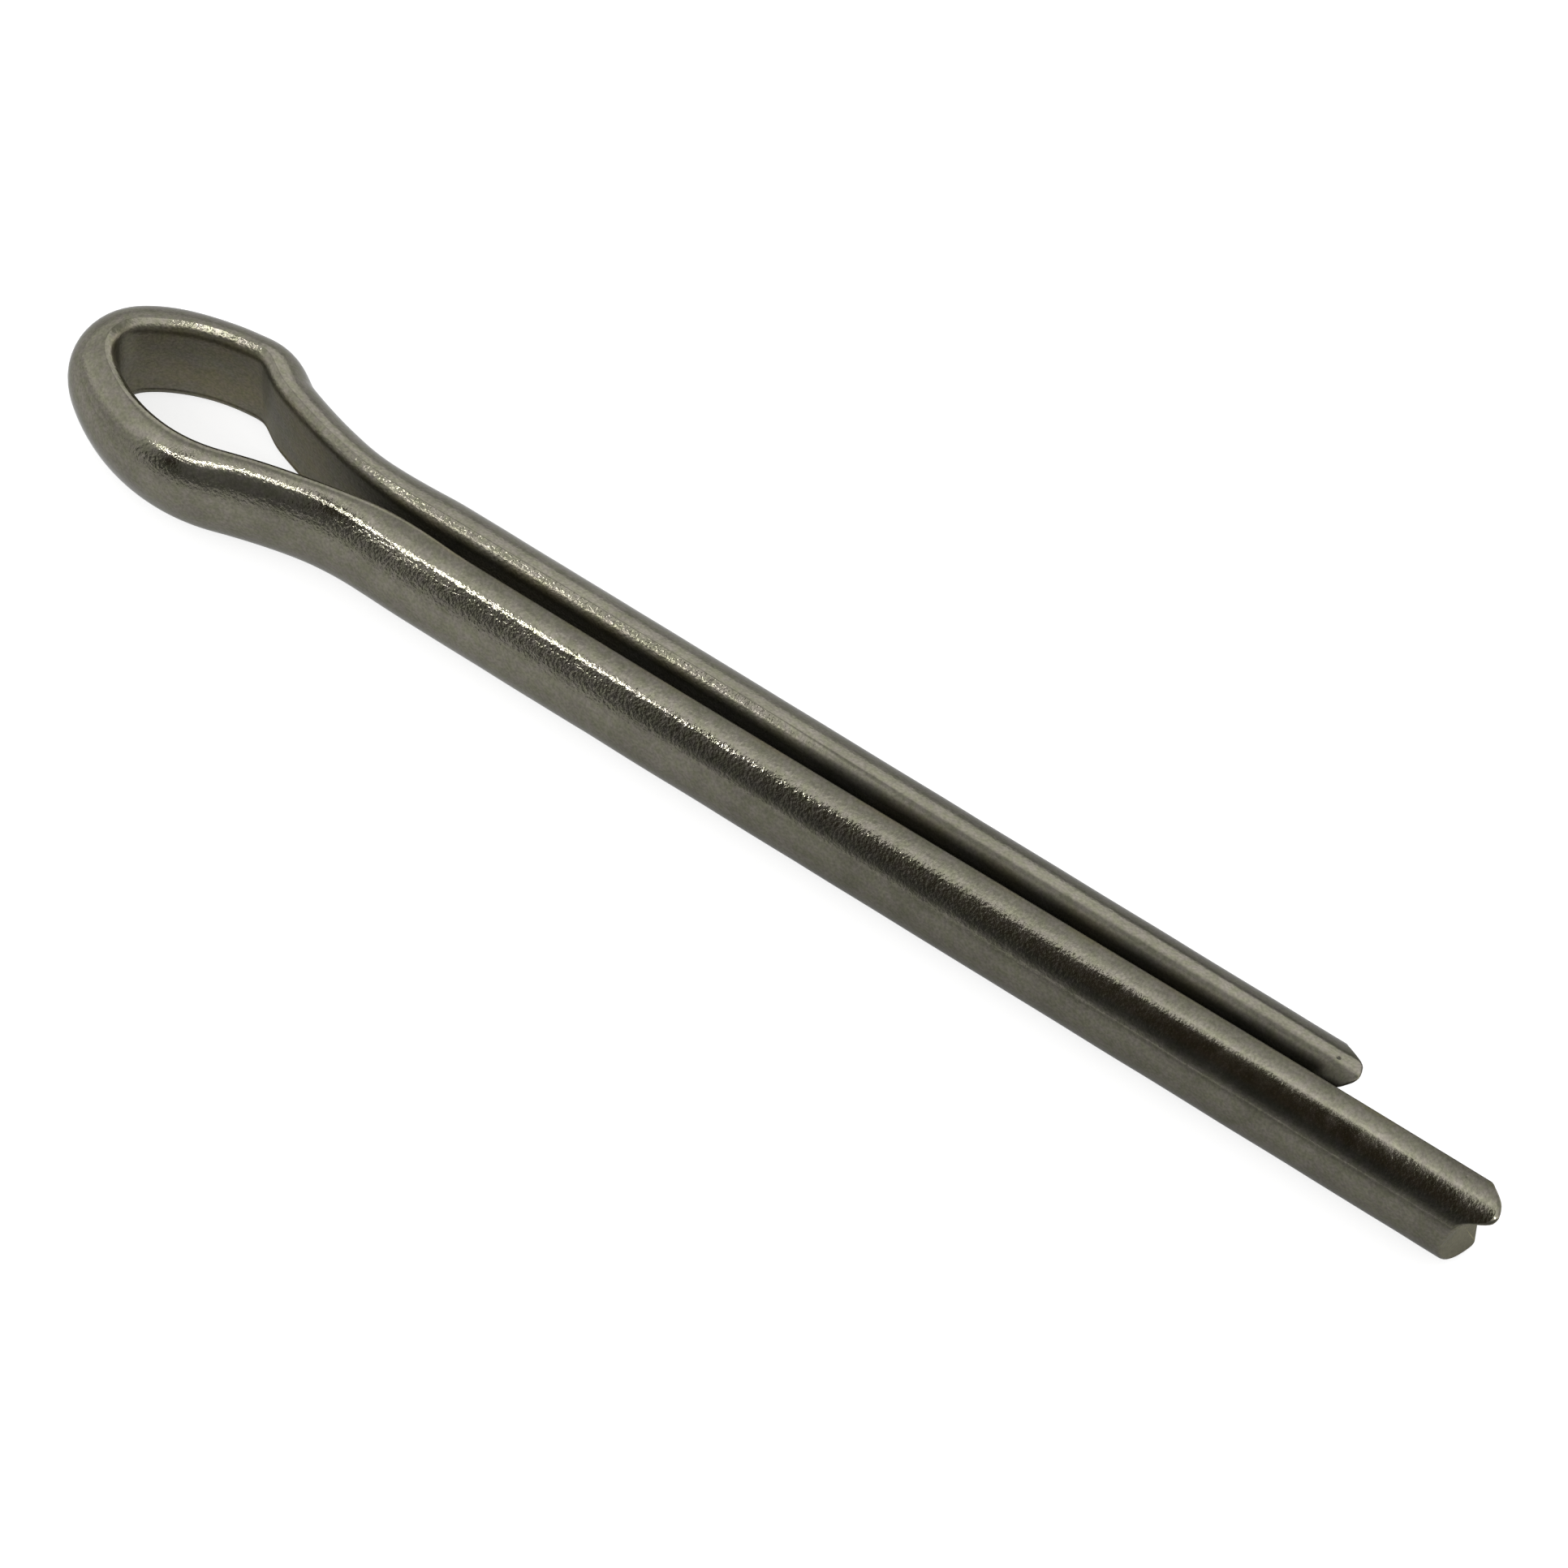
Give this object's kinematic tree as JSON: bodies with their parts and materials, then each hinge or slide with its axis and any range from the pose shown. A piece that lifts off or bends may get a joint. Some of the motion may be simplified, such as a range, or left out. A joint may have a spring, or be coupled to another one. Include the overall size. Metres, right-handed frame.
{
  "type": "cotter pin",
  "caption": "Extended-prong cotter pin bent from half-round steel wire, with an eye at one end and a longer and a shorter straight leg, for locking a nut or a clevis pin.",
  "frame": {"origin": "on the shank's axis, where both legs leave the neck of the eye and run straight", "axes": "+X along the shank towards the tips, +Z along the axis of the eye, the long leg on the -Y side; the pin lies flat with -Z down"},
  "size_m": [0.0763, 0.0102, 0.0056],
  "materials": {
    "plated_steel": "satin zinc plating with fine drawing grain"
  },
  "bodies": {
    "root": {"cotter_pin": "plated_steel"}
  },
  "joints": []
}
